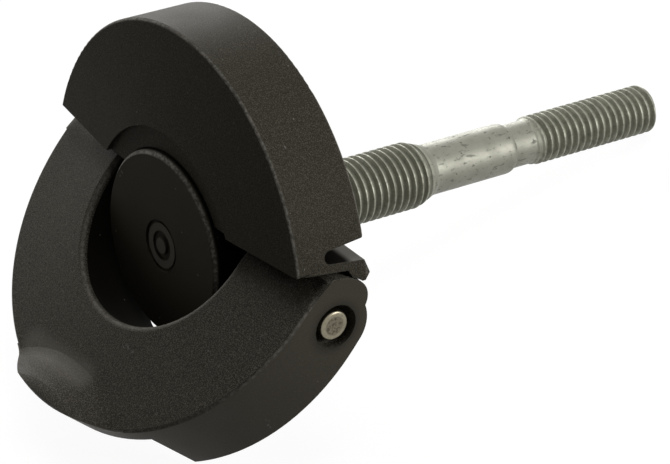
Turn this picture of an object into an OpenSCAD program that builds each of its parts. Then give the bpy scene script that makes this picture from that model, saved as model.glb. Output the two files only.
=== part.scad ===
// Screw with a folding T-handle: a round moulded knob whose lower half is a
// flap that swings out on two pins, and a steel stud with two threads.
// It lies as it comes to rest, on the flap's two rear corners and the stud's
// tip. The origin is on the stud's axis, at the hub's rear face. +X runs from
// the knob towards the tip, +Z is up and Y runs along the hinge.
// Inside the modules, sizes along X count from the hub's front face.

/* [Knob] */
// Rim radius of the fixed wing and of the flap
knob_r = 25; // [23:0.5:30]
// Distance of each half's rim centre from the hinge line
half_shift = 1; // [0.4:0.1:2]
// Setback of the front rim from the hub's front face
rim_front = 1.65; // [1.5:0.05:2.2]
// Rise of the front face from the rim to the window's edge
crown = 1.4; // [0.6:0.1:1.5]
// Depth of the wing and flap, hub's front face to rear face
knob_depth = 10.8; // [10.4:0.1:12]
// Rounding of the wing's front and rear rim edges
wing_edge_r = 0.45; // [0.2:0.05:0.8]
// Rounding of the wing's two tips
tip_r = 0.3; // [0.2:0.1:1.4]
// Gap between the flap's face and the wing's end with the flap square to it
open_gap = 0.15; // [0.1:0.05:0.5]
// Rise of the wing's end from the hub to the rim
split_rise = 0.4; // [0.1:0.1:0.8]

/* [Hub] */
// Radius of the hub
hub_r = 11.1; // [10.5:0.1:11.6]
// Length of the hub
hub_len = 16; // [14:0.5:18]
// Chamfer of the hub's front edge
hub_chamfer = 0.45; // [0.2:0.05:0.8]
// Width of the shallow ring round the hub in the wing's face
ring_w = 2.8; // [2:0.1:3.5]
// Depth of that ring below the hub's front face
ring_depth = 0.95; // [0.7:0.05:1.2]
// Outer radius of the moulding mark at the hub's centre
mark_r = 3.1; // [2.4:0.1:4]
// Depth of the moulding mark's grooves
mark_depth = 0.35; // [0.15:0.05:0.6]

/* [Flap] */
// Angle by which the flap stands open
flap_open = 39; // [25:1:55]
// Gap between the hub and the flap's window
window_gap = 1.7; // [1.3:0.1:2.2]
// Rounding of the window's front edge
window_edge_r = 0.8; // [0.3:0.1:1.2]
// Rounding of the flap's outer front edge
flap_edge_r = 0.45; // [0.2:0.05:1]
// Growth of the flap's depth from the hinge to its free end
flap_taper = 1.25; // [0.6:0.05:2]
// Length of the thumb lip, from its foot to the free end
lip_len = 6.4; // [5.5:0.1:7.5]
// Height of the thumb lip above its foot
lip_h = 3.5; // [2:0.1:3.8]
// Angle of the lip's slope
lip_slope = 44; // [32:1:56]
// Radius in which the lip's foot runs, seen from the front
lip_arc_r = 19; // [14:0.5:26]
// Rounding at the foot and crest of the lip's slope
lip_bend = 2.6; // [0.8:0.1:3]
// Rounding of the lip's outer edge
lip_edge_r = 0.5; // [0.3:0.1:1]
// Half width of the finger cut behind the lip
finger_half_w = 13.3; // [10:0.1:15]
// Thickness of the flap in front of the finger cut, at the rim
finger_plate = 2.5; // [2:0.1:4]
// Width of the rib left between the window and the finger cut
finger_rib = 4; // [2.5:0.1:6]

/* [Hinge] */
// Depth of the hinge line behind the hub's front face
hinge_x = 6.6; // [6.2:0.1:7]
// Diameter of the hinge pins
pin_d = 3.6; // [3:0.1:4]
// Radial running clearance of the flap on its pins
pin_clear = 0.05; // [0.02:0.01:0.09]
// Setback of each pin's end from the flap's side
pin_setback = 0.2; // [0:0.05:0.6]
// Diameter of the counterbore round each pin's end
bore_d = 5.3; // [4.8:0.1:6]
// Depth of the counterbore
bore_depth = 1.4; // [0.8:0.1:2.5]
// Height of the cam on each arm's round end
cam_rise = 0.75; // [0.4:0.05:0.9]
// Rounding of the cam's rear end
cam_end_r = 2.5; // [1.6:0.1:3]
// Radius of the hub's hinge bosses
boss_r = 2.9; // [2.5:0.1:3.2]
// Gap between a boss and the flap's arm
boss_gap = 0.4; // [0.2:0.05:0.6]

/* [Spring tongue] */
// Gap between the tongue's nose and the cam
nose_gap = 0.12; // [0.08:0.02:0.3]
// Gap between the tongue and the cam in front of the nose
tongue_gap = 0.6; // [0.4:0.05:0.8]
// Thickness of the tongue
tongue_t = 0.95; // [0.7:0.05:1.3]
// Drop of the tongue's upper side towards its nose
tongue_drop = 0.5; // [0.2:0.1:0.8]
// Width of the tongue along the hinge
tongue_w = 7.6; // [5:0.1:8.5]
// Height of the slit above the tongue
slit_w = 1.5; // [1:0.05:2]
// Rise of the slit's upper side towards the rear
slit_rise = 0.5; // [0.2:0.1:1.2]
// Rounding of the wing's rear edge above the slit
slit_edge_r = 0.5; // [0.2:0.1:1]
// Length of the tongue's nose
nose_len = 1.8; // [1.2:0.1:2.2]
// Reach of the nose behind the wing's rear face
nose_reach = 0.3; // [0:0.05:0.6]

/* [Stud] */
// Diameter of the larger thread
big_thread_d = 8; // [7:0.5:9]
// Length of the larger thread behind the hub
big_thread_len = 18.5; // [15:0.1:30]
// Length of the larger thread's run-out
runout_len = 2.5; // [1:0.1:3]
// Diameter of the plain shank
shank_d = 6.15; // [5.8:0.05:6.4]
// Length of the plain shank
shank_len = 11; // [6:0.1:16]
// Length of the round shoulder at the shank's end
shoulder_len = 0.85; // [0.5:0.05:2]
// Diameter of the neck in front of the smaller thread
neck_d = 5.35; // [5:0.05:5.6]
// Length of the neck
neck_len = 3.75; // [2:0.05:5]
// Diameter of the smaller thread
small_thread_d = 6; // [5.6:0.1:6.4]
// Length of the smaller thread
small_thread_len = 17.3; // [12:0.1:26]
// Length of the rounded point
point_len = 0.75; // [0.4:0.05:1.2]
// Diameter of the stud's root, which is moulded into the hub
root_d = 9.2; // [9.1:0.1:11]
// Depth of the root's end below the hub's front face
root_x = 2.5; // [2:0.1:4]
// Moulding clearance between the stud or a pin and the hub
seat_clear = 0.02; // [0.01:0.01:0.05]

/* [Hidden] */
$fn = 96;
steps = 6;
past = 1;
round_over = 1.01;
knob_black = "#2b2a28";
zinc_grey = "#8d8f88";
pin_steel = "#b8b4a8";

// Knob: radii from each half's own rim centre
window_r = hub_r + window_gap;
crown_slope = crown / (knob_r - window_r);
crown_angle = atan(crown_slope);
function front_x(r) = rim_front - crown_slope * (knob_r - r);
barrel_r = knob_depth - hinge_x;
cam_r = hinge_x - rim_front + cam_rise;
split_in = hinge_x - front_x(window_r) + open_gap;
split_out = split_in + split_rise;
ring_r = hub_r + ring_w;

// Tongue: heights above the hinge line
nose_r = cam_r + nose_gap;
tongue_low = cam_r + tongue_gap;
tongue_rear = tongue_low + tongue_t - tongue_drop / 2;
tongue_top = tongue_rear + tongue_drop;
slit_x = hinge_x - slit_w / 3;
nose_end = knob_depth + nose_reach;
nose_start = nose_end - nose_len;
tongue_end = nose_end - nose_len / 3;
nose_low = sqrt(pow(nose_r, 2) - pow(nose_start - hinge_x, 2)) - past / 2;
tongue_in = knob_r - tongue_w;

// Cam on the arms' round ends, as angles from the rear towards the top
cam_from = 99;
cam_to = 140;
barrel_to = 100;

// Pins and stud
pin_r = pin_d / 2;
pin_in = root_d / 2 + 1.5 * past;
pin_out = knob_r - pin_setback;
pin_chamfer = pin_d / 12;
big_end = hub_len + big_thread_len;
shank_start = big_end + runout_len;
shank_end = shank_start + shank_len;
neck_start = shank_end + shoulder_len;
neck_end = neck_start + neck_len;
lead_len = neck_len / 6;
small_end = neck_end + small_thread_len;
tip_x = small_end + point_len;

// Flap: lengths below the hinge line on the closed flap
free_end = half_shift + knob_r;
flap_rear = knob_depth + flap_taper;
lip_foot = free_end - lip_len;
foot_r = lip_foot - half_shift;
arc_centre = foot_r + lip_arc_r;
rim_meet = (pow(arc_centre, 2) + pow(knob_r, 2) - pow(lip_arc_r, 2)) / (2 * arc_centre);
lip_lean = atan(crown_slope * (knob_r - foot_r) / (rim_meet - foot_r));
lip_sink = 0.06;

// Rest: the finger cut's two rear corners and the tip stand on the floor
corner_b = half_shift + sqrt(pow(knob_r, 2) - pow(finger_half_w, 2));
corner_t = barrel_r + flap_taper * corner_b / free_end;
corner_x = hinge_x + corner_t * cos(flap_open) - corner_b * sin(flap_open);
corner_z = -corner_b * cos(flap_open) - corner_t * sin(flap_open);
lay_tilt = atan2(-small_thread_d / 2 - corner_z, small_end - corner_x);

function polar(r, a) = r * [cos(a), sin(a)];

// Places what is drawn from the hub's front face as the screw lies
module laid() {
    rotate([0, lay_tilt, 0]) translate([-hub_len, 0, 0]) children();
}

// Turns a shape about the hinge line
module about_hinge(angle) {
    translate([hinge_x, 0, 0]) rotate([0, angle, 0]) translate([-hinge_x, 0, 0]) children();
}

// Turns a shape made about Z so that its axis is X
module about_x() {
    rotate([0, 90, 0]) children();
}

// Extrudes an (x, z) outline from y0 to y1
module across(y0, y1) {
    rotate([90, 0, 0]) translate([0, 0, -y1]) linear_extrude(y1 - y0) children();
}

module both_sides() {
    for (side = [0, 1]) mirror([0, side, 0]) children();
}

// Sliver outside a rounding of radius r about c, between two directions.
// The circle is a little larger, so that it crosses the sides it rounds off
module corner_cut(c, r, a0, a1) {
    mid = (a0 + a1) / 2;
    reach = 2 * r / cos((a1 - a0) / 2);
    difference() {
        polygon([c, c + polar(2 * r, a0), c + polar(reach, mid), c + polar(2 * r, a1)]);
        translate(c) circle(r * round_over);
    }
}

// Corners where a front face meets the rim or the window
module rim_cut(r) {
    corner_cut([knob_r - r, front_x(knob_r - r) + r / cos(crown_angle)], r, crown_angle - 90, 0);
}

module window_cut(r) {
    corner_cut([window_r + r, front_x(window_r + r) + r / cos(crown_angle)], r, -180, crown_angle - 90);
}

// Section of the flap from the window's wall to the rim, as (radius, depth)
module flap_section() {
    difference() {
        polygon([
            [window_r, front_x(window_r)], [knob_r, rim_front],
            [knob_r, flap_rear], [window_r, flap_rear]
        ]);
        rim_cut(flap_edge_r);
        window_cut(window_edge_r);
    }
}

// Front of that section, as (distance from the hinge line, radius)
module barrel_section() {
    intersection() {
        translate([hinge_x, 0]) rotate(90) flap_section();
        square(2 * knob_r);
    }
}

// Section of the fixed wing, as (radius, depth)
module wing_section() {
    difference() {
        polygon([[0, knob_depth], [0, front_x(0)], [knob_r, rim_front], [knob_r, knob_depth]]);
        rim_cut(wing_edge_r);
        corner_cut([knob_r, knob_depth] - [wing_edge_r, wing_edge_r], wing_edge_r, 0, 90);
    }
}

// Outline of the wing's end, seen along the stud: all above the split line,
// with each tip rounded where the end meets the rim
module wing_outline() {
    slope = split_rise / (knob_r - hub_r);
    lean = atan(slope);
    base = split_in - hub_r * slope;
    level = (base - half_shift) * cos(lean) + tip_r;
    inner = knob_r - tip_r;
    reach = sqrt(inner * inner - level * level);
    c = [0, half_shift] + level * polar(1, 90 + lean) + reach * polar(1, lean);
    out = c - [0, half_shift];
    far = 2 * knob_r;
    wide = base + far * slope;
    difference() {
        polygon([[0, base], [far, wide], [far, far], [-far, far], [-far, wide]]);
        for (side = [0, 1]) mirror([side, 0]) corner_cut(c, tip_r, lean - 90, atan2(out[1], out[0]));
    }
}

// Fixed wing before its slits, with the shallow ring round the hub
module wing() {
    difference() {
        intersection() {
            translate([0, 0, half_shift]) about_x() rotate_extrude() wing_section();
            translate([-knob_r, 0, 0]) rotate([90, 0, 90]) linear_extrude(2 * knob_r) wing_outline();
        }
        translate([ring_depth - knob_r, 0, 0]) about_x() cylinder(r = ring_r, h = knob_r);
    }
}

// Sprung tongue at one end of the wing, with its hooked nose on the cam
module tongue() {
    intersection() {
        difference() {
            across(tongue_in, knob_r + past) polygon([
                [rim_front + past, split_out], [nose_start - past, tongue_low],
                [nose_start, nose_low], [tongue_end, nose_low],
                [nose_end, nose_low + 0.8 * past], [tongue_end, tongue_rear],
                [slit_x, tongue_top]
            ]);
            translate([hinge_x, 0, 0]) rotate([-90, 0, 0]) cylinder(r = nose_r, h = 2 * knob_r);
        }
        translate([0, 0, half_shift]) about_x() cylinder(r = knob_r, h = 2 * knob_depth);
    }
}

// Slit that frees the tongue, and the room in which the tongue is then drawn
module slit() {
    upper = tongue_top + slit_w;
    rear = knob_depth + past;
    lean = atan(slit_rise / (rear - slit_x));
    edge_x = knob_depth - slit_edge_r;
    edge_z = upper + (edge_x - slit_x) * tan(lean) + slit_edge_r / cos(lean);
    across(tongue_in - slit_w, knob_r + past) {
        translate([slit_x, upper - slit_w / 2]) circle(slit_w / 2);
        polygon([[slit_x, cam_r], [rear, cam_r], [rear, upper + slit_rise], [slit_x, upper]]);
        corner_cut([edge_x, edge_z], slit_edge_r, lean - 90, 0);
    }
}

// Hub as turned about the stud's axis, with the moulding mark on its face
module hub() {
    groove = mark_r / 3;
    about_x() difference() {
        union() {
            cylinder(r1 = hub_r - hub_chamfer, r2 = hub_r, h = hub_chamfer);
            translate([0, 0, hub_chamfer]) cylinder(r = hub_r, h = hub_len - 2 * hub_chamfer);
            translate([0, 0, hub_len - hub_chamfer])
                cylinder(r1 = hub_r, r2 = hub_r - hub_chamfer, h = hub_chamfer);
        }
        difference() {
            translate([0, 0, -past]) cylinder(r = mark_r, h = mark_depth + past);
            cylinder(r = groove, h = mark_depth);
            translate([0, 0, mark_depth / 3]) difference() {
                cylinder(r = mark_r - mark_depth, h = mark_depth);
                translate([0, 0, -past]) cylinder(r = 2 * groove - mark_depth, h = mark_depth + 2 * past);
            }
        }
    }
}

module pin_hole(r, y0, y1) {
    translate([hinge_x, y0, 0]) rotate([-90, 0, 0]) cylinder(r = r, h = y1 - y0);
}

module knob_body() {
    color(knob_black) laid() difference() {
        union() {
            difference() {
                wing();
                both_sides() slit();
            }
            both_sides() tongue();
            hub();
            both_sides() pin_hole(boss_r, 0, window_r - boss_gap);
        }
        both_sides() pin_hole(pin_r + seat_clear, pin_in - seat_clear, knob_r);
        translate([root_x - seat_clear, 0, 0]) about_x() cylinder(r = root_d / 2 + seat_clear, h = hub_len);
    }
}

// Round end of one arm, seen along the hinge: barrel and cam with a rounded rear end
module arm_end() {
    front = [rim_front - hinge_x, 0];
    intersection() {
        circle(barrel_r);
        translate([-barrel_r, 0]) square([2 * barrel_r, barrel_r]);
    }
    intersection() {
        circle(cam_r);
        union() {
            polygon([[0, 0], polar(2 * cam_r, cam_from), front + 3 * (polar(cam_r, cam_to) - front), front]);
            translate(polar(cam_r - cam_end_r, cam_from)) circle(cam_end_r * round_over);
        }
    }
}

// One arm of the flap, from the rim's centre up round its pin
module arm() {
    translate([0, 0, -half_shift]) mirror([1, 0, 0]) rotate([0, 0, 90])
        linear_extrude(half_shift) flap_section();
    translate([hinge_x, 0, 0]) {
        across(window_r, knob_r) arm_end();
        rotate([-90, 0, 0]) rotate([0, 0, 180]) rotate_extrude(angle = 180 - barrel_to)
            barrel_section();
    }
}

// Section of the lip, as (distance from its arc's centre, height): up a slope
// with a rounded foot and crest, then level
module lip_section() {
    t = lip_bend * tan(lip_slope / 2);
    crest = t + lip_h / tan(lip_slope);
    along = [t, 0] + polar(t, lip_slope);
    far = lip_len / cos(lip_lean) + past;
    translate([lip_arc_r, 0]) mirror([1, 0]) {
        difference() {
            polygon([[t, -past], [t, 0], [crest, lip_h], [far, lip_h], [far, -past]]);
            corner_cut([crest + t, lip_h - lip_bend], lip_bend, 90, 90 + lip_slope);
        }
        difference() {
            polygon([[0, -past], [0, 0], along, [along[0], -past]]);
            translate([0, lip_bend]) circle(lip_bend);
        }
    }
}

// Stands a shape on the flap's face at the lip's foot, with its Z off the face
// and its X down towards the free end
module at_foot() {
    translate([front_x(foot_r) + lip_sink, 0, -lip_foot]) rotate([0, 90 - lip_lean, 0]) rotate([180, 0, 0])
        children();
}

// Thumb lip at the free end
module lip() {
    edge = knob_r / cos(lip_lean) - lip_edge_r;
    difference() {
        intersection() {
            at_foot() translate([lip_arc_r, 0, 0]) rotate_extrude() lip_section();
            translate([-2 * lip_h, 0, -half_shift]) about_x() cylinder(r = knob_r, h = 4 * lip_h);
        }
        at_foot() translate([-lip_h * tan(lip_lean) - foot_r / cos(lip_lean), 0, 0]) rotate_extrude()
            corner_cut([edge, lip_h - lip_edge_r], lip_edge_r, 0, 90);
    }
}

// Cut behind the lip for a fingertip
module finger_cut() {
    depth = rim_front + finger_plate;
    difference() {
        translate([depth, -finger_half_w, -half_shift - knob_r - past])
            cube([2 * knob_depth, 2 * finger_half_w, knob_r + past]);
        translate([0, 0, -half_shift]) about_x() cylinder(r = window_r + finger_rib, h = 2 * knob_depth);
    }
}

module flap() {
    color(knob_black) laid() about_hinge(flap_open)
        difference() {
            union() {
                translate([0, 0, -half_shift]) about_x() rotate([0, 0, -90]) rotate_extrude(angle = 180)
                    flap_section();
                both_sides() arm();
                lip();
            }
            finger_cut();
            across(-2 * knob_r, 2 * knob_r) polygon([
                [knob_depth, 0], [flap_rear, -free_end], [flap_rear, -free_end - past],
                [flap_rear + past, -free_end - past], [flap_rear + past, 0]
            ]);
            both_sides() {
                pin_hole(pin_r + pin_clear, window_r - past, knob_r + past);
                pin_hole(bore_d / 2, knob_r - bore_depth, knob_r + past);
            }
        }
}

// Hinge pin on the +Y side: pressed into the hub, with a chamfered outer end
module hinge_pin() {
    body = pin_out - pin_in - pin_chamfer;
    translate([hinge_x, pin_in, 0]) rotate([-90, 0, 0]) {
        cylinder(r = pin_r, h = body);
        translate([0, 0, body]) cylinder(r1 = pin_r, r2 = pin_r - pin_chamfer, h = pin_chamfer);
    }
}

module hinge_pin_right() {
    color(pin_steel) laid() mirror([0, 1, 0]) hinge_pin();
}

module hinge_pin_left() {
    color(pin_steel) laid() hinge_pin();
}

// Stud: both threads are plain at their outer diameter
module threaded_stud() {
    big_r = big_thread_d / 2;
    shank_r = shank_d / 2;
    neck_r = neck_d / 2;
    small_r = small_thread_d / 2;
    shoulder = [for (i = [0:steps]) let (t = 90 * i / steps)
        [neck_r + (shank_r - neck_r) * cos(t), shank_end + shoulder_len * sin(t)]];
    point = [for (i = [0:steps]) let (t = 90 * i / steps)
        [small_r - point_len * (1 - cos(t)), small_end + point_len * sin(t)]];
    color(zinc_grey) laid() about_x() rotate_extrude() polygon(concat(
        [[0, root_x], [root_d / 2, root_x], [root_d / 2, hub_len]],
        [[big_r, hub_len], [big_r, big_end], [shank_r, shank_start]],
        shoulder,
        [[neck_r, neck_end - lead_len], [small_r, neck_end]],
        point,
        [[0, tip_x]]
    ));
}

knob_body();
flap();
hinge_pin_right();
hinge_pin_left();
threaded_stud();
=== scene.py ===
"""Looks of the screw with a folding T-handle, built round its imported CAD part.

Lengths are in millimetres and are counted, as in the part's source, from the
hub's front face along the stud's axis. Lay turns them into the row frame.
"""

import functools
import logging
import math
from dataclasses import dataclass, field
from enum import Enum

import bmesh
import bpy
from mathutils import Matrix, Quaternion, Vector


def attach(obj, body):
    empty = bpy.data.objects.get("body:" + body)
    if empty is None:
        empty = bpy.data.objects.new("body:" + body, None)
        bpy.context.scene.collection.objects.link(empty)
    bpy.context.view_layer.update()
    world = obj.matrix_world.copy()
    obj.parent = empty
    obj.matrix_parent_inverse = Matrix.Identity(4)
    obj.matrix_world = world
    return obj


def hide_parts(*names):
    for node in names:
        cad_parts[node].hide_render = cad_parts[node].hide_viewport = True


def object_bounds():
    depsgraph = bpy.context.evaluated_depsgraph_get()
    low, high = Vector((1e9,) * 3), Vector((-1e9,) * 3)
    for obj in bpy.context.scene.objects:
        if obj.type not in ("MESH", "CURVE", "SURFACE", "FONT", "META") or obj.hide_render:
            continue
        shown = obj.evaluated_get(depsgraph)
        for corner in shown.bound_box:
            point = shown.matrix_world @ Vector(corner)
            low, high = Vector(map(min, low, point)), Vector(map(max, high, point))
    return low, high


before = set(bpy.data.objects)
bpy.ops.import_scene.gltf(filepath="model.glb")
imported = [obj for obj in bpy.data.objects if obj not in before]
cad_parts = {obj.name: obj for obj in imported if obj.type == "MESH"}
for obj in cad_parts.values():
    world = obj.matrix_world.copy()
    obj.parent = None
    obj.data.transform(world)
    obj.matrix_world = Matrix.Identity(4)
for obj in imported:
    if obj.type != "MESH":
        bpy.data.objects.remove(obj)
CAD_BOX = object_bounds()

LOG = logging.getLogger("t_handle_screw")
MM = 0.001
FULL_TURN = 2.0 * math.pi
QUARTER_TURN = 0.5 * math.pi
# Depth past the front or rear of every piece
FAR = 100.0
# Share of a mark's reach over which the mark has its full strength
CORE = 0.2

Colour = tuple[float, float, float, float]
Triple = tuple[float, float, float]
Band = tuple[float, float]

WHITE: Colour = (1.0, 1.0, 1.0, 1.0)


class Side(Enum):
    """Side of the screw, as the sign of Y."""

    RIGHT = -1
    LEFT = 1


@dataclass(frozen=True)
class Lay:
    """How the screw lies in the row frame, and how far its flap stands open."""

    hub_len: float = 16.0
    tilt_deg: float = 13.4839
    hinge_x: float = 6.6
    flap_open_deg: float = 39.0

    def to_row(self) -> Matrix:
        """Matrix from millimetres on the stud's axis to metres in the row frame."""
        turn = Matrix.Rotation(math.radians(self.tilt_deg), 4, "Y")
        return Matrix.Scale(MM, 4) @ turn @ Matrix.Translation((-self.hub_len, 0.0, 0.0))

    def flap_to_row(self) -> Matrix:
        """The same for the closed flap, which is then swung open.

        Returns:
            Matrix from the closed flap's millimetres to the row frame.
        """
        hinge = Matrix.Translation((self.hinge_x, 0.0, 0.0))
        swing = Matrix.Rotation(math.radians(self.flap_open_deg), 4, "Y")
        return self.to_row() @ hinge @ swing @ hinge.inverted()


LAY = Lay()


class Sock:
    """A shader socket that takes part in Python arithmetic."""

    def __init__(self, graph: "Graph", socket: bpy.types.NodeSocket) -> None:
        """Keeps the socket and the node tree it is in."""
        self.graph = graph
        self.socket = socket

    def _math(self, operation: str, *values: "Sock | float") -> "Sock":
        """Adds one Math node.

        Args:
            operation: The Math node's operation.
            values: Its inputs in order.

        Returns:
            The node's result.
        """
        inputs = dict(enumerate(values))
        return self.graph.node("ShaderNodeMath", {"operation": operation}, inputs)

    def __add__(self, other: "Sock | float") -> "Sock":
        """Sum."""
        return self._math("ADD", self, other)

    __radd__ = __add__

    def __sub__(self, other: "Sock | float") -> "Sock":
        """Difference."""
        return self._math("SUBTRACT", self, other)

    def __rsub__(self, other: float) -> "Sock":
        """Difference from a number."""
        return self._math("SUBTRACT", other, self)

    def __mul__(self, other: "Sock | float") -> "Sock":
        """Product."""
        return self._math("MULTIPLY", self, other)

    __rmul__ = __mul__

    def __pow__(self, other: float) -> "Sock":
        """Power."""
        return self._math("POWER", self, other)

    def larger(self, other: "Sock | float") -> "Sock":
        """The larger of two values."""
        return self._math("MAXIMUM", self, other)

    def smaller(self, other: "Sock | float") -> "Sock":
        """The smaller of two values."""
        return self._math("MINIMUM", self, other)

    def step(self, low: float, high: float) -> "Sock":
        """Smooth step from 0 at low to 1 at high, or the other way round."""
        limits = {"Value": self, "From Min": low, "From Max": high}
        return self.graph.node("ShaderNodeMapRange", {"interpolation_type": "SMOOTHSTEP"}, limits)


class Graph:
    """A node tree that is filled by expressions."""

    def __init__(self, tree: bpy.types.NodeTree) -> None:
        """Empties the tree."""
        self.tree = tree
        tree.nodes.clear()

    def node(
        self,
        kind: str,
        settings: dict[str, object] | None = None,
        inputs: dict[str | int, object] | None = None,
        output: str | int = 0,
    ) -> Sock:
        """Adds any node.

        Args:
            kind: Type name of the node.
            settings: Properties of the node, set before its sockets.
            inputs: Values or sockets for its inputs, by name or number.
            output: Output that is returned.

        Returns:
            The chosen output, or the first input of a node that has none.
        """
        made = self.tree.nodes.new(kind)
        for name, value in (settings or {}).items():
            setattr(made, name, value)
        for name, value in (inputs or {}).items():
            if isinstance(value, Sock):
                self.tree.links.new(value.socket, made.inputs[name])
            else:
                made.inputs[name].default_value = value
        return Sock(self, made.outputs[output] if len(made.outputs) else made.inputs[0])

    def blend(
        self, share: "Sock | float", low: "Sock | Colour", high: "Sock | Colour"
    ) -> Sock:
        """Mixes two colours.

        Args:
            share: Part of the second colour.
            low: First colour.
            high: Second colour.

        Returns:
            The mixed colour.
        """
        # A Mix node has its factor at input 0, and its colours at 6, 7 and output 2
        return self.node("ShaderNodeMix", {"data_type": "RGBA"}, {0: share, 6: low, 7: high}, 2)

    def own_place(self, to_row: Matrix) -> Sock:
        """Place on a piece in its own frame, in millimetres.

        Args:
            to_row: Matrix from the piece's frame to the row frame, turned about Y only.

        Returns:
            The place as a vector.
        """
        back = to_row.inverted()
        inputs = {
            "Vector": self.node("ShaderNodeTexCoord", output="Object"),
            "Location": back.to_translation(),
            "Rotation": back.to_euler(),
            "Scale": back.to_scale(),
        }
        return self.node("ShaderNodeMapping", {"vector_type": "POINT"}, inputs)

    def parts(self, vector: Sock) -> tuple[Sock, Sock, Sock]:
        """Splits a vector.

        Args:
            vector: The vector.

        Returns:
            Its three parts.
        """
        split = self.node("ShaderNodeSeparateXYZ", inputs={"Vector": vector})
        outputs = split.socket.node.outputs
        return split, Sock(self, outputs[1]), Sock(self, outputs[2])

    def combine(self, operation: str, left: object, right: object, output: int = 0) -> Sock:
        """One Vector Math node, whose output 1 is a value."""
        inputs = {0: left, 1: right}
        return self.node("ShaderNodeVectorMath", {"operation": operation}, inputs, output)

    def bump(self, height: Sock, strength: float, reach: float) -> Sock:
        """Normal over a height that spans reach millimetres."""
        inputs = {"Height": height, "Strength": strength, "Distance": reach * MM}
        return self.node("ShaderNodeBump", inputs=inputs, output="Normal")

    def surface(self, inputs: dict[str | int, object]) -> None:
        """Ends a material with one Principled shader."""
        shader = self.node("ShaderNodeBsdfPrincipled", inputs=inputs)
        self.node("ShaderNodeOutputMaterial", inputs={"Surface": shader})


def new_material(name: str) -> tuple[bpy.types.Material, Graph]:
    """Makes an empty material.

    Args:
        name: Name of the finish.

    Returns:
        The material and its node tree.
    """
    material = bpy.data.materials.new(name)
    material.use_nodes = True
    return material, Graph(material.node_tree)


def dress(piece: bpy.types.Object, material: bpy.types.Material) -> None:
    """Gives a piece one finish."""
    piece.data.materials.clear()
    piece.data.materials.append(material)


@dataclass(frozen=True)
class Noise:
    """Noise with features of about 1/scale millimetres, and the band that makes patches of it."""

    scale: float
    detail: float = 2.0
    band: Band = (0.0, 1.0)

    def raw(self, graph: Graph, place: Sock) -> Sock:
        """The noise itself, about 0.5."""
        inputs = {"Vector": place, "Scale": self.scale, "Detail": self.detail}
        return graph.node("ShaderNodeTexNoise", inputs=inputs)

    def patches(self, graph: Graph, place: Sock) -> Sock:
        """Patches of 1 where the noise has risen through its band, and 0 elsewhere."""
        return self.raw(graph, place).step(*self.band)


@dataclass(frozen=True)
class RoundEdge:
    """A moulded edge that runs in a circle round an axis along the stud."""

    radius: float
    depth: float
    centre_z: float
    reach: float = 0.3
    strength: float = 0.6

    def share(self, graph: Graph, place: Sock) -> Sock:
        """How near a place is to the edge.

        Args:
            graph: Node tree of the finish.
            place: Place in the piece's own frame.

        Returns:
            The edge's strength on it, falling to 0 at its reach.
        """
        x, y, z = graph.parts(place)
        radius = (y**2.0 + (z - self.centre_z) ** 2.0) ** 0.5
        away = ((radius - self.radius) ** 2.0 + (x - self.depth) ** 2.0) ** 0.5
        return away.step(self.reach, CORE * self.reach) * self.strength


@dataclass(frozen=True)
class RoundZone:
    """A band of radii round an axis along the stud, between two depths."""

    low_r: float
    high_r: float
    centre_z: float = 0.0
    front: float = -FAR
    rear: float = FAR
    straight_arms: bool = False
    soft: float = 0.12

    def share(self, graph: Graph, place: Sock) -> Sock:
        """How far a place lies in the zone.

        Args:
            graph: Node tree of the finish.
            place: Place in the piece's own frame.

        Returns:
            1 inside the zone and 0 outside, with a soft border.
        """
        x, y, z = graph.parts(place)
        height = z - self.centre_z
        if self.straight_arms:
            height = height.smaller(0.0)
        radius = (y**2.0 + height**2.0) ** 0.5
        inside = radius.step(self.low_r - self.soft, self.low_r)
        inside = inside * radius.step(self.high_r + self.soft, self.high_r)
        inside = inside * x.step(self.rear + self.soft, self.rear)
        return inside * x.step(self.front - self.soft, self.front)


@dataclass(frozen=True)
class SlitZone:
    """Part of the slit over each tongue, round a line along the hinge."""

    line_x: float
    line_z: float
    full_r: float
    reach: float
    rim: RoundZone

    def share(self, graph: Graph, place: Sock) -> Sock:
        """How far a place lies in the zone.

        Args:
            graph: Node tree of the finish.
            place: Place in the piece's own frame.

        Returns:
            1 up to the full radius round the line, falling to 0 at the reach.
        """
        x, _, z = graph.parts(place)
        away = ((x - self.line_x) ** 2.0 + (z - self.line_z) ** 2.0) ** 0.5
        return away.step(self.reach, self.full_r) * self.rim.share(graph, place)


@dataclass(frozen=True)
class LineMark:
    """A line between two places on a surface, used for scratches, for streaks of painted
    highlight and for patches of painted shade.
    """

    start: Triple
    end: Triple
    width: float = 0.22

    def share(self, graph: Graph, place: Sock) -> Sock:
        """How near a place is to the line.

        Args:
            graph: Node tree of the finish.
            place: Place in the piece's own frame.

        Returns:
            1 on the line, falling to 0 at the width from it.
        """
        run = Vector(self.end) - Vector(self.start)
        from_start = graph.combine("SUBTRACT", place, self.start)
        along = graph.combine("DOT_PRODUCT", from_start, run / run.length_squared, 1)
        along = along.smaller(1.0).larger(0.0)
        inputs = {0: run, "Scale": along}
        foot = graph.node("ShaderNodeVectorMath", {"operation": "SCALE"}, inputs)
        away = graph.combine("DISTANCE", from_start, foot, 1)
        return away.step(self.width, CORE * self.width)


Mark = RoundEdge | RoundZone | SlitZone | LineMark


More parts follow.
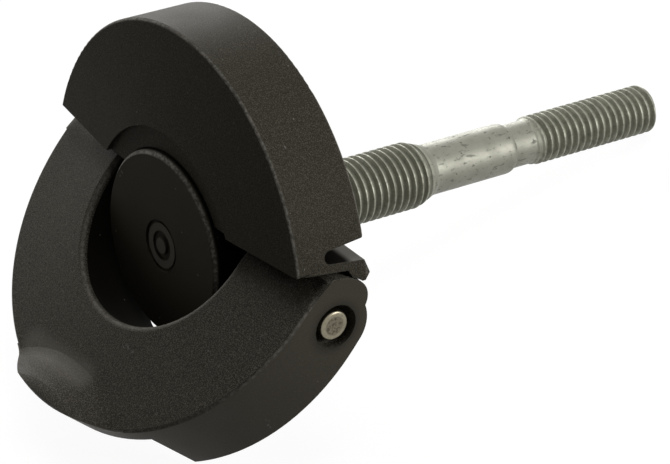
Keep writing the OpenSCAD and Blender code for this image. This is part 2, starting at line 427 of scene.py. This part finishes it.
@dataclass(frozen=True)
class MouldedBlack:
    """Black moulding with a fine eroded grain, smooth zones, pale specks, pale edges for wear and
    painted highlight, painted shade in recesses and painted highlight on chosen zones.
    """

    name: str
    edges: tuple[RoundEdge, ...]
    smooth: tuple[Mark, ...]
    # Zones painted near-black as shade, in recesses and round the pin seats
    painted_shade: tuple[Mark, ...]
    scuffs: tuple[Mark, ...]
    # Zones lightened with the edges' pale colour as painted highlight
    pale: tuple[Mark, ...]
    gloss: float
    dark: Colour = (0.033, 0.0299, 0.0228, 1.0)
    grain_tint: Colour = (0.088, 0.081, 0.064, 1.0)
    sleek: Colour = (0.03, 0.0271, 0.0204, 1.0)
    # Near-black colour of the painted shade
    painted_shade_colour: Colour = (0.003, 0.0027, 0.0022, 1.0)
    # Pale colour of the edge lines, for wear and painted highlight, also used for the
    # painted-highlight zones
    wear_and_highlight: Colour = (0.24, 0.226, 0.195, 1.0)
    gloss_tint: Colour = (1.0, 0.91, 0.74, 1.0)
    speck: Colour = (0.26, 0.25, 0.23, 1.0)
    grain: Noise = Noise(8.0, 2.0, (0.42, 0.7))
    cloud: Noise = Noise(0.28, 3.0)
    wear: Noise = Noise(2.6, 3.0, (0.42, 0.62))
    speck_spread: Noise = Noise(0.9, 2.0, (0.5, 0.6))
    speck_cells: float = 0.62
    speck_size: Band = (0.075, 0.045)
    speck_share: float = 0.6
    scuff_share: float = 0.5
    sleek_share: float = 0.85
    # Share of the pale colour in the painted-highlight zones
    painted_highlight_share: float = 0.42
    # Least share of the pale edge line outside worn patches
    edge_least: float = 0.35
    roughness: float = 0.46
    cloud_rough: float = 0.1
    grain_rough: float = 0.08
    rub_polish: float = 0.1
    painted_shade_rough: float = 0.5
    grain_bump: float = 0.4
    grain_height: float = 0.05
    smooth_bump: float = 0.12

    def material(self, to_row: Matrix) -> bpy.types.Material:
        """Builds the finish.

        Args:
            to_row: Matrix from the piece's frame to the row frame.

        Returns:
            The material.
        """
        made, graph = new_material(self.name)
        place = graph.own_place(to_row)
        grain = self.grain.raw(graph, place)
        cloud = self.cloud.raw(graph, place)
        worn = self.wear.patches(graph, place)
        cells = {"Vector": place, "Scale": self.speck_cells}
        dots = graph.node("ShaderNodeTexVoronoi", {"feature": "F1"}, cells)
        specks = dots.step(*self.speck_size) * self.speck_spread.patches(graph, place)
        smooth = self.strongest(graph, place, self.smooth)
        # Mask of the painted shade
        painted_shade = self.strongest(graph, place, self.painted_shade)
        # Mask of the painted highlight on chosen zones
        pale = self.strongest(graph, place, self.pale)
        # Edge lines are pale as wear and as painted highlight, and paler in worn patches
        wear_and_highlight = self.strongest(graph, place, self.edges)
        wear_and_highlight = wear_and_highlight * (self.edge_least + worn * (1.0 - self.edge_least))
        scuffed = self.strongest(graph, place, self.scuffs) * worn
        colour = graph.blend(grain.step(*self.grain.band), self.dark, self.grain_tint)
        colour = graph.blend(smooth * self.sleek_share, colour, self.sleek)
        # Painted shade: these zones go near-black
        colour = graph.blend(painted_shade, colour, self.painted_shade_colour)
        # Painted highlight on the chosen zones, and the edges' pale line of wear and painted
        # highlight
        colour = graph.blend(wear_and_highlight.larger(pale * self.painted_highlight_share), colour, self.wear_and_highlight)
        flecks = (specks * self.speck_share).larger(scuffed * self.scuff_share)
        colour = graph.blend(flecks, colour, self.speck)
        rough = self.roughness + cloud * self.cloud_rough + grain * self.grain_rough
        height = grain * (self.smooth_bump + (1.0 - smooth) * (1.0 - self.smooth_bump))
        graph.surface(
            {
                "Base Color": colour,
                "Roughness": rough - wear_and_highlight * self.rub_polish + painted_shade * self.painted_shade_rough,
                "Specular IOR Level": self.gloss,
                "Specular Tint": self.gloss_tint,
                "Normal": graph.bump(height, self.grain_bump, self.grain_height),
            }
        )
        return made

    def strongest(self, graph: Graph, place: Sock, marks: tuple[Mark, ...]) -> Sock:
        """The strongest of several marks at a place."""
        return functools.reduce(Sock.larger, [mark.share(graph, place) for mark in marks])


@dataclass(frozen=True)
class DullZinc:
    """Zinc-coated steel: pale where it is plain, grey-green in the threads."""

    plain: Colour = (0.27, 0.268, 0.22, 1.0)
    coated: Colour = (0.33, 0.33, 0.264, 1.0)
    valley: Colour = (0.125, 0.126, 0.095, 1.0)
    stain: Colour = (0.04, 0.04, 0.03, 1.0)
    cloud: Noise = Noise(0.55, 4.0, (0.35, 0.75))
    fine: Noise = Noise(5.0, 3.0)
    stains: Noise = Noise(1.15, 5.0, (0.57, 0.67))
    stain_stretch: Triple = (0.7, 1.5, 1.5)
    pits: Noise = Noise(1.9, 4.0, (0.62, 0.7))
    dull: Noise = Noise(1.3, 3.0, (0.42, 0.62))
    cloud_share: float = 0.25
    valley_share: float = 0.75
    dull_share: float = 0.4
    stain_share: float = 0.45
    pit_share: float = 0.75
    thread_soil: float = 0.35
    metallic: float = 0.45
    roughness: float = 0.42
    cloud_rough: float = 0.16
    stain_rough: float = 0.12
    thread_rough: float = 0.1
    coat_bump: float = 0.3
    coat_height: float = 0.06

    def material(self, to_row: Matrix) -> bpy.types.Material:
        """Builds the finish.

        Args:
            to_row: Matrix from the stud's frame to the row frame.

        Returns:
            The material.
        """
        made, graph = new_material("dull_zinc")
        place = graph.own_place(to_row)
        named = {"attribute_name": StudSizes.COAT}
        coat = graph.node("ShaderNodeAttribute", named, output="Vector")
        valley, plain, _ = graph.parts(coat)
        cloud = self.cloud.raw(graph, place)
        fine = self.fine.raw(graph, place)
        along = graph.combine("MULTIPLY", place, self.stain_stretch)
        stains = self.stains.patches(graph, along)
        pits = self.pits.patches(graph, place)
        dull = self.dull.patches(graph, place) * (1.0 - plain)
        colour = graph.blend(plain, self.coated, self.plain)
        clouded = cloud.step(*self.cloud.band) * self.cloud_share
        colour = graph.blend(clouded, colour, self.valley)
        darkened = (valley * self.valley_share).larger(dull * self.dull_share)
        colour = graph.blend(darkened, colour, self.valley)
        soiled = (stains * self.stain_share).larger(pits * self.pit_share)
        soiled = soiled * (self.thread_soil + plain * (1.0 - self.thread_soil))
        colour = graph.blend(soiled, colour, self.stain)
        rough = self.roughness + cloud * self.cloud_rough + stains * self.stain_rough
        rough = rough + valley * self.thread_rough + dull * self.thread_rough
        graph.surface(
            {
                "Base Color": colour,
                "Metallic": self.metallic,
                "Roughness": rough,
                "Normal": graph.bump(fine + cloud, self.coat_bump, self.coat_height),
            }
        )
        return made


@dataclass(frozen=True)
class PinSteel:
    """Bright pin whose end is worn and mottled in the middle."""

    bright: Colour = (0.23, 0.207, 0.152, 1.0)
    worn: Colour = (0.12, 0.106, 0.076, 1.0)
    stain: Colour = (0.05, 0.043, 0.03, 1.0)
    mottle: Noise = Noise(3.2, 5.0, (0.46, 0.62))
    worn_r: float = 1.15
    worn_soft: float = 0.12
    worn_ragged: float = 0.5
    worn_share: float = 0.8
    rim_stain: float = 0.2
    worn_stain: float = 0.65
    roughness: float = 0.28
    worn_rough: float = 0.16
    mottle_rough: float = 0.1
    worn_bump: float = 0.4
    worn_height: float = 0.08

    def material(self, to_row: Matrix, hinge_x: float) -> bpy.types.Material:
        """Builds the finish.

        Args:
            to_row: Matrix from the pins' frame to the row frame.
            hinge_x: Depth of the hinge line.

        Returns:
            The material.
        """
        made, graph = new_material("pin_steel")
        place = graph.own_place(to_row)
        x, _, z = graph.parts(place)
        radius = ((x - hinge_x) ** 2.0 + z**2.0) ** 0.5
        mottle = self.mottle.raw(graph, place)
        ragged = radius + mottle * self.worn_ragged - 0.5 * self.worn_ragged
        middle = ragged.step(self.worn_r + self.worn_soft, self.worn_r - self.worn_soft)
        colour = graph.blend(middle * self.worn_share, self.bright, self.worn)
        stained = mottle.step(*self.mottle.band) * (self.rim_stain + middle * self.worn_stain)
        colour = graph.blend(stained, colour, self.stain)
        graph.surface(
            {
                "Base Color": colour,
                "Metallic": 1.0,
                "Roughness": self.roughness
                + middle * self.worn_rough
                + mottle * self.mottle_rough,
                "Normal": graph.bump(mottle * middle, self.worn_bump, self.worn_height),
            }
        )
        return made


def finish_mesh(
    name: str, mesh: bmesh.types.BMesh, to_row: Matrix, sharp_deg: float = 30.0
) -> bpy.types.Object:
    """Turns a bmesh into a piece in the row frame.

    Args:
        name: Name of the piece.
        mesh: The shape, in millimetres in its own frame.
        to_row: Matrix from that frame to the row frame.
        sharp_deg: Angle above which an edge stays sharp.

    Returns:
        The piece, with its object at the origin.
    """
    bmesh.ops.transform(mesh, matrix=to_row, verts=mesh.verts)
    bmesh.ops.recalc_face_normals(mesh, faces=mesh.faces)
    for face in mesh.faces:
        face.smooth = True
    data = bpy.data.meshes.new(name)
    mesh.to_mesh(data)
    mesh.free()
    data.set_sharp_from_angle(angle=math.radians(sharp_deg))
    piece = bpy.data.objects.new(name, data)
    bpy.context.scene.collection.objects.link(piece)
    return piece


def ease(value: float, low: float, high: float) -> float:
    """Smooth step from 0 at low to 1 at high."""
    share = min(1.0, max(0.0, (value - low) / (high - low)))
    return share * share * (3.0 - 2.0 * share)


@dataclass
class StudSizes:
    """Sizes of the stud along its axis, from the hub's front face."""

    COAT = "coat"

    root_x: float = 2.5
    root_r: float = 4.6
    hub_end: float = 16.0
    big_r: float = 4.0
    big_end: float = 34.5
    shank_start: float = 37.0
    shank_r: float = 3.075
    shank_end: float = 48.0
    neck_start: float = 48.85
    neck_r: float = 2.675
    lead_start: float = 51.975
    neck_end: float = 52.6
    small_r: float = 3.0
    small_end: float = 69.9
    tip_x: float = 70.65
    tip_r: float = 2.25
    pitch: float = 1.0
    thread_depth: float = 0.54
    flank: Band = (0.14, 0.74)
    tip_fade: float = 0.5


@dataclass
class ThreadedStud:
    """Steel stud with two rolled threads, a plain shank and a neck."""

    sizes: StudSizes = field(default_factory=StudSizes)
    finish: DullZinc = field(default_factory=DullZinc)
    rows_per_pitch: int = 12
    turn_steps: int = 64
    front_turns: float = 2.0
    spare_turns: float = 3.0
    lead_soft: float = 0.1
    small_valley: float = 0.5
    sharp_deg: float = 50.0
    fuzz: float = 0.004

    def outer_r(self, x: float) -> float:
        """Radius of the stud over its crests.

        Args:
            x: Place along the axis.

        Returns:
            The radius of the CAD outline there.
        """
        s = self.sizes
        if x <= s.hub_end:
            return s.root_r
        if x <= s.big_end:
            return s.big_r
        if x <= s.shank_start:
            share = (x - s.big_end) / (s.shank_start - s.big_end)
            return s.big_r + (s.shank_r - s.big_r) * share
        if x <= s.shank_end:
            return s.shank_r
        if x <= s.neck_start:
            share = (x - s.shank_end) / (s.neck_start - s.shank_end)
            return s.neck_r + (s.shank_r - s.neck_r) * math.sqrt(1.0 - share * share)
        if x <= s.lead_start:
            return s.neck_r
        if x <= s.neck_end:
            share = (x - s.lead_start) / (s.neck_end - s.lead_start)
            return s.neck_r + (s.small_r - s.neck_r) * share
        if x <= s.small_end:
            return s.small_r
        share = min(1.0, (x - s.small_end) / (s.tip_x - s.small_end))
        return s.tip_r + (s.small_r - s.tip_r) * math.sqrt(1.0 - share * share)

    def groove(self, x: float, angle: float) -> float:
        """Share of the thread's groove, 0 on a crest and 1 in a valley."""
        phase = (x / self.sizes.pitch - angle / FULL_TURN) % 1.0
        return ease(abs(phase - 0.5) * 2.0, *self.sizes.flank)

    def radius(self, x: float, angle: float) -> float:
        """Radius of the stud's surface.

        Args:
            x: Place along the axis.
            angle: Angle round the axis.

        Returns:
            The radius with the threads cut in.
        """
        s = self.sizes
        outer = self.outer_r(x)
        cut = s.thread_depth * self.groove(x, angle)
        if s.hub_end < x <= s.shank_start:
            return min(outer, s.big_r - cut) if x > s.hub_end + self.fuzz else s.big_r
        if x > s.lead_start:
            share = ease(x, s.lead_start, s.neck_end + s.pitch)
            return outer - cut * share * (1.0 - s.tip_fade * ease(x, s.small_end, s.tip_x))
        return outer

    def threaded(self, x: float) -> float:
        """How much of the surface is thread.

        Args:
            x: Place along the axis.

        Returns:
            1 on the threads and 0 on the plain parts.
        """
        s = self.sizes
        big = 1.0 - ease(x, s.big_end + s.pitch, s.shank_start)
        return max(big, ease(x, s.lead_start - self.lead_soft, s.neck_end))

    def build(self, lay: Lay) -> bpy.types.Object:
        """Spins a row of points along a helix and sets each one's radius.

        Args:
            lay: How the screw lies.

        Returns:
            The stud.
        """
        s = self.sizes
        turns = round((s.tip_x - s.root_x) / s.pitch + self.spare_turns)
        start = s.root_x - self.front_turns * s.pitch
        mesh = bmesh.new()
        ends = [mesh.verts.new((x, 1.0, 0.0)) for x in (start, start + turns * s.pitch)]
        line = mesh.edges.new(ends)
        bmesh.ops.subdivide_edges(mesh, edges=[line], cuts=turns * self.rows_per_pitch - 1)
        # The last row lies one pitch behind the first, so use_merge can't join them
        bmesh.ops.spin(
            mesh,
            geom=mesh.verts[:] + mesh.edges[:],
            cent=(0.0, 0.0, 0.0),
            axis=(1.0, 0.0, 0.0),
            dvec=(s.pitch / self.turn_steps, 0.0, 0.0),
            angle=FULL_TURN,
            steps=self.turn_steps,
        )
        bmesh.ops.remove_doubles(mesh, verts=mesh.verts, dist=self.fuzz)
        for x, way in ((s.root_x, -1.0), (s.tip_x, 1.0)):
            bmesh.ops.bisect_plane(
                mesh,
                geom=mesh.verts[:] + mesh.edges[:] + mesh.faces[:],
                dist=self.fuzz,
                plane_co=(x, 0.0, 0.0),
                plane_no=(way, 0.0, 0.0),
                clear_outer=True,
            )
        coat = mesh.verts.layers.float_vector.new(StudSizes.COAT)
        for vert in mesh.verts:
            x = vert.co.x
            angle = math.atan2(vert.co.z, vert.co.y)
            radius = self.radius(x, angle)
            vert.co = (x, radius * math.cos(angle), radius * math.sin(angle))
            threaded = self.threaded(x)
            fresh = 1.0 if x < s.neck_start else self.small_valley
            vert[coat] = (self.groove(x, angle) * threaded * fresh, 1.0 - threaded, 0.0)
        bmesh.ops.holes_fill(mesh, edges=[e for e in mesh.edges if e.is_boundary], sides=0)
        return finish_mesh("stud", mesh, lay.to_row(), self.sharp_deg)

    def dress(self, piece: bpy.types.Object, lay: Lay) -> None:
        """Gives the stud its finish and its place on the knob.

        Args:
            piece: The stud.
            lay: How the screw lies.
        """
        dress(piece, self.finish.material(lay.to_row()))
        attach(piece, "knob")
        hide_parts("threaded_stud")


@dataclass
class HingePin:
    """Steel hinge pin with a rounded outer end."""

    side: Side
    radius: float = 1.8
    inner: float = 6.1
    outer: float = 24.8
    edge_r: float = 0.34
    edge_steps: int = 4
    dish_in: float = 0.42
    dish_depth: float = 0.05
    segments: int = 64
    sharp_deg: float = 40.0

    def build(self, lay: Lay) -> bpy.types.Object:
        """Makes the pin from a cylinder.

        Args:
            lay: How the screw lies.

        Returns:
            The pin.
        """
        length = self.outer - self.inner
        mesh = bmesh.new()
        bmesh.ops.create_cone(
            mesh,
            cap_ends=True,
            segments=self.segments,
            radius1=self.radius,
            radius2=self.radius,
            depth=length,
        )
        rim = [e for e in mesh.edges if all(v.co.z > 0.0 for v in e.verts)]
        bmesh.ops.bevel(
            mesh,
            geom=rim,
            offset=self.edge_r,
            affect="EDGES",
            segments=self.edge_steps,
            profile=0.5,
            material=-1,
        )
        end = max(mesh.faces, key=lambda face: face.calc_center_median().z)
        bmesh.ops.inset_region(mesh, faces=[end], thickness=self.dish_in, depth=-self.dish_depth)
        middle = self.inner + 0.5 * length
        stand = Matrix.Rotation(-QUARTER_TURN * self.side.value, 4, "X")
        place = Matrix.Translation((lay.hinge_x, self.side.value * middle, 0.0))
        name = f"pin_{self.side.name.lower()}"
        return finish_mesh(name, mesh, lay.to_row() @ place @ stand, self.sharp_deg)

    def dress(self, piece: bpy.types.Object, steel: bpy.types.Material) -> None:
        """Gives the pin its finish and its place on the knob.

        Args:
            piece: The pin.
            steel: Finish of the pins.
        """
        dress(piece, steel)
        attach(piece, "knob")
        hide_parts(f"hinge_pin_{self.side.name.lower()}")


@dataclass
class Mouldings:
    """The two black mouldings, whose CAD solids are shown as they are."""

    knob_r: float = 25.0
    half_shift: float = 1.0
    rim_front: float = 1.65
    rear: float = 10.8
    edge_in: float = 0.1
    wall_in: float = 0.15
    hub_r: float = 11.1
    hub_edge_in: float = 0.2
    hub_face: float = 0.6
    # Depth from which the hub's side is painted near-black as shade
    hub_side: float = 0.7
    # Gate mark: a dot and a ring lightened as painted highlight
    mark_dot: float = 0.85
    mark_ring: Band = (1.85, 2.6)
    mark_depth: float = 0.3
    window_r: float = 12.8
    window_front: float = 0.4
    window_edge_out: float = 0.2
    # Depth, behind the window's front edge, from which the window's walls are painted near-black
    # as shade
    window_wall: float = 0.7
    slit_x: float = 6.1
    slit_z: float = 8.25
    slit_r: float = 0.8
    # Reach of the painted shade round the slit over each tongue
    slit_shade: Band = (2.2, 3.3)
    tongue_smooth: Band = (5.0, 6.0)
    # Painted highlight on the tongues' rear tops: its place behind the slit and its reach
    tongue_rear: float = 5.0
    tongue_highlight: Band = (1.9, 3.0)
    # Painted shade round each pin seat: where it lies and how far it reaches
    seat_y: Band = (24.0, 23.28)
    seat_shade: float = 4.2
    knob_gloss: float = 0.03
    flap_gloss: float = 0.08
    knob_scuffs: tuple[LineMark, ...] = (
        LineMark((0.95, -9.7, 5.35), (0.95, -10.5, 4.97)),
        LineMark((0.0, 8.85, 4.98), (0.0, 8.43, 5.56), 0.3),
        LineMark((4.22, -17.1, 19.2), (4.25, -17.2, 19.1), 0.16),
        LineMark((5.76, -18.95, 17.3), (5.8, -19.0, 17.25), 0.16),
    )
    flap_scuffs: tuple[LineMark, ...] = (
        LineMark((0.54, -4.96, -15.43), (0.65, -7.49, -15.39), 0.35),
        LineMark((8.74, -21.96, -12.9), (9.77, -21.66, -13.45), 0.3),
    )
    # Painted highlight on the thumb lip's slope
    lip_highlight: LineMark = LineMark((1.5, 8.8, -21.9), (1.1, -1.6, -21.2), 2.7)

    def knob_finish(self) -> MouldedBlack:
        """Finish of the fixed wing and the hub.

        Returns:
            The finish, with its marks in the knob's frame.
        """
        rim_r = self.knob_r - self.edge_in
        rim_front = self.rim_front + self.edge_in
        hub_edge_r = self.hub_r - self.hub_edge_in
        inner = RoundZone(
            0.0, self.knob_r - self.wall_in, self.half_shift, front=self.slit_x - self.slit_r
        )
        tongue_x = self.slit_x + self.tongue_rear
        tongue_z = self.slit_z - self.slit_r
        return MouldedBlack(
            name="knob_black",
            # Pale edge lines: wear and painted highlight; the hub's edge line, at full strength,
            # is a painted highlight
            edges=(
                RoundEdge(rim_r, rim_front, self.half_shift, strength=0.9),
                RoundEdge(rim_r, self.rear - self.edge_in, self.half_shift),
                RoundEdge(hub_edge_r, self.hub_edge_in, 0.0, reach=0.4, strength=1.0),
            ),
            smooth=(
                RoundZone(0.0, self.hub_r, rear=self.hub_face),
                SlitZone(self.slit_x, self.slit_z, *self.tongue_smooth, rim=inner),
            ),
            # Painted shade: the hub's side and the slit over each tongue go near-black
            painted_shade=(
                RoundZone(
                    self.hub_r - self.wall_in,
                    self.hub_r + self.edge_in,
                    front=self.hub_side,
                    rear=self.rear,
                ),
                SlitZone(self.slit_x, self.slit_z, *self.slit_shade, rim=inner),
            ),
            scuffs=self.knob_scuffs,
            # Painted highlight on the gate mark and the tongues' rear tops
            pale=(
                RoundZone(0.0, self.mark_dot, rear=self.mark_depth),
                RoundZone(*self.mark_ring, rear=self.mark_depth),
                SlitZone(tongue_x, tongue_z, *self.tongue_highlight, rim=inner),
            ),
            gloss=self.knob_gloss,
        )

    def flap_finish(self, lay: Lay) -> MouldedBlack:
        """Finish of the flap.

        Args:
            lay: How the screw lies, with the depth of the hinge.

        Returns:
            The finish, with its marks in the closed flap's frame.
        """
        rim_r = self.knob_r - self.edge_in
        rim_front = self.rim_front + self.edge_in
        window_edge_r = self.window_r + self.window_edge_out
        seats = [[(lay.hinge_x, side.value * y, 0.0) for y in self.seat_y] for side in Side]
        return MouldedBlack(
            name="flap_black",
            # Pale edge lines on the rim and the window: wear and painted highlight
            edges=(
                RoundEdge(rim_r, rim_front, -self.half_shift),
                RoundEdge(window_edge_r, self.window_front, -self.half_shift, reach=0.5),
            ),
            smooth=(RoundZone(rim_r, 2.0 * self.knob_r, -self.half_shift, straight_arms=True),),
            # Painted shade: the window's walls and the pin seats go near-black
            painted_shade=(
                RoundZone(
                    0.0,
                    self.window_r + self.wall_in,
                    -self.half_shift,
                    front=self.window_front + self.window_wall,
                    straight_arms=True,
                ),
                *(LineMark(*seat, width=self.seat_shade) for seat in seats),
            ),
            scuffs=self.flap_scuffs,
            # Painted highlight on the thumb lip's slope
            pale=(self.lip_highlight,),
            gloss=self.flap_gloss,
            # Paler colours than the knob's: partly the flap's own tone, partly painted light on
            # its face and sides
            dark=(0.032, 0.0292, 0.0224, 1.0),
            grain_tint=(0.162, 0.151, 0.124, 1.0),
            sleek=(0.06, 0.0543, 0.0425, 1.0),
        )

    def dress(self, lay: Lay) -> None:
        """Dresses the knob's body and the flap.

        Args:
            lay: How the screw lies.
        """
        finishes = {
            "knob_body": self.knob_finish().material(lay.to_row()),
            "flap": self.flap_finish(lay).material(lay.flap_to_row()),
        }
        for name, material in finishes.items():
            dress(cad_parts[name], material)
            LOG.info("%s: CAD solid in %s", name, material.name)


@dataclass(frozen=True)
class SoftBox:
    """A square soft light."""

    name: str
    place: Triple
    side: float
    power: float

    def build(self, target: Vector) -> None:
        """Hangs the light and turns it.

        Args:
            target: Place that the light faces.
        """
        lamp = bpy.data.lights.new(self.name, "AREA")
        lamp.shape = "SQUARE"
        lamp.size = self.side
        lamp.energy = self.power
        held = bpy.data.objects.new(self.name, lamp)
        held.location = self.place
        held.rotation_euler = (target - Vector(self.place)).to_track_quat("-Z", "Y").to_euler()
        bpy.context.scene.collection.objects.link(held)


@dataclass
class Studio:
    """Pale floor, soft light and the camera of the photograph."""

    floor_side: float = 4.0
    floor_colour: Colour = (0.12, 0.12, 0.118, 1.0)
    floor_lift: float = 0.94
    ambient: float = 0.02
    backdrop: float = 1.0
    lights: tuple[SoftBox, ...] = (
        SoftBox("right_box", (0.59, -0.72, 0.22), 0.4, 6.0),
        SoftBox("back_box", (0.43, 0.83, 0.19), 0.4, 5.6),
        SoftBox("left_box", (-0.09, 0.89, 0.32), 0.4, 1.9),
        SoftBox("top_box", (0.15, 0.0, 0.87), 0.5, 2.6),
    )
    camera_place: Triple = (-0.16912122, -0.3095492, 0.25075714)
    camera_turn: tuple[float, ...] = (0.83767805, 0.4484108, -0.07762418, -0.30198963)
    camera_near: float = 0.01
    focal_px: float = 3756.086
    image_px: float = 670.0

    def seen(self, graph: Graph) -> Sock:
        """Picks the rays that show the background.

        Args:
            graph: Node tree of the floor or the world.

        Returns:
            1 for camera, glossy and transmitted rays, and 0 for the others.
        """
        path = graph.node("ShaderNodeLightPath").socket.node.outputs
        names = ("Is Camera Ray", "Is Glossy Ray", "Is Transmission Ray")
        return functools.reduce(Sock.larger, [Sock(graph, path[name]) for name in names])

    def build_floor(self) -> None:
        """Lays the floor under the screw."""
        mesh = bmesh.new()
        bmesh.ops.create_grid(mesh, x_segments=1, y_segments=1, size=0.5 * self.floor_side)
        floor = finish_mesh("floor", mesh, Matrix.Translation((0.0, 0.0, CAD_BOX[0].z)))
        material, graph = new_material("floor_paper")
        matt = graph.node("ShaderNodeBsdfDiffuse", inputs={"Color": self.floor_colour})
        glow = graph.node("ShaderNodeEmission", inputs={"Strength": self.floor_lift})
        lifted = graph.node("ShaderNodeAddShader", inputs={0: matt, 1: glow})
        layers = {0: self.seen(graph), 1: matt, 2: lifted}
        shader = graph.node("ShaderNodeMixShader", inputs=layers)
        graph.node("ShaderNodeOutputMaterial", inputs={"Surface": shader})
        dress(floor, material)

    def build_light(self) -> None:
        """Sets the soft light all round and the lamps."""
        scene = bpy.context.scene
        scene.world = bpy.data.worlds.new("studio")
        scene.world.use_nodes = True
        graph = Graph(scene.world.node_tree)
        dim, white = (
            graph.node("ShaderNodeBackground", inputs={"Color": WHITE, "Strength": strength})
            for strength in (self.ambient, self.backdrop)
        )
        both = graph.node("ShaderNodeMixShader", inputs={0: self.seen(graph), 1: dim, 2: white})
        graph.node("ShaderNodeOutputWorld", inputs={"Surface": both})
        target = 0.5 * (CAD_BOX[0] + CAD_BOX[1])
        for light in self.lights:
            light.build(target)
        scene.view_settings.view_transform = "Standard"

    def build_camera(self) -> None:
        """Sets the camera at the photograph's viewing angle."""
        lens = bpy.data.cameras.new("photo_camera")
        lens.sensor_fit = "HORIZONTAL"
        lens.lens = self.focal_px * lens.sensor_width / self.image_px
        lens.clip_start = self.camera_near
        camera = bpy.data.objects.new("photo_camera", lens)
        camera.location = self.camera_place
        camera.rotation_mode = "QUATERNION"
        camera.rotation_quaternion = Quaternion(self.camera_turn)
        bpy.context.scene.collection.objects.link(camera)
        bpy.context.scene.camera = camera

    def build(self) -> None:
        """Builds the whole stage."""
        self.build_floor()
        self.build_light()
        self.build_camera()


def main() -> None:
    """Builds the screw's pieces and the stage."""
    logging.basicConfig(level=logging.INFO)
    Mouldings().dress(LAY)
    stud = ThreadedStud()
    piece = stud.build(LAY)
    stud.dress(piece, LAY)
    LOG.info("%s: %d faces", piece.name, len(piece.data.polygons))
    steel = PinSteel().material(LAY.to_row(), LAY.hinge_x)
    for side in Side:
        pin = HingePin(side)
        piece = pin.build(LAY)
        pin.dress(piece, steel)
        LOG.info("%s: %d faces", piece.name, len(piece.data.polygons))
    Studio().build()


if __name__ == "__main__":
    main()
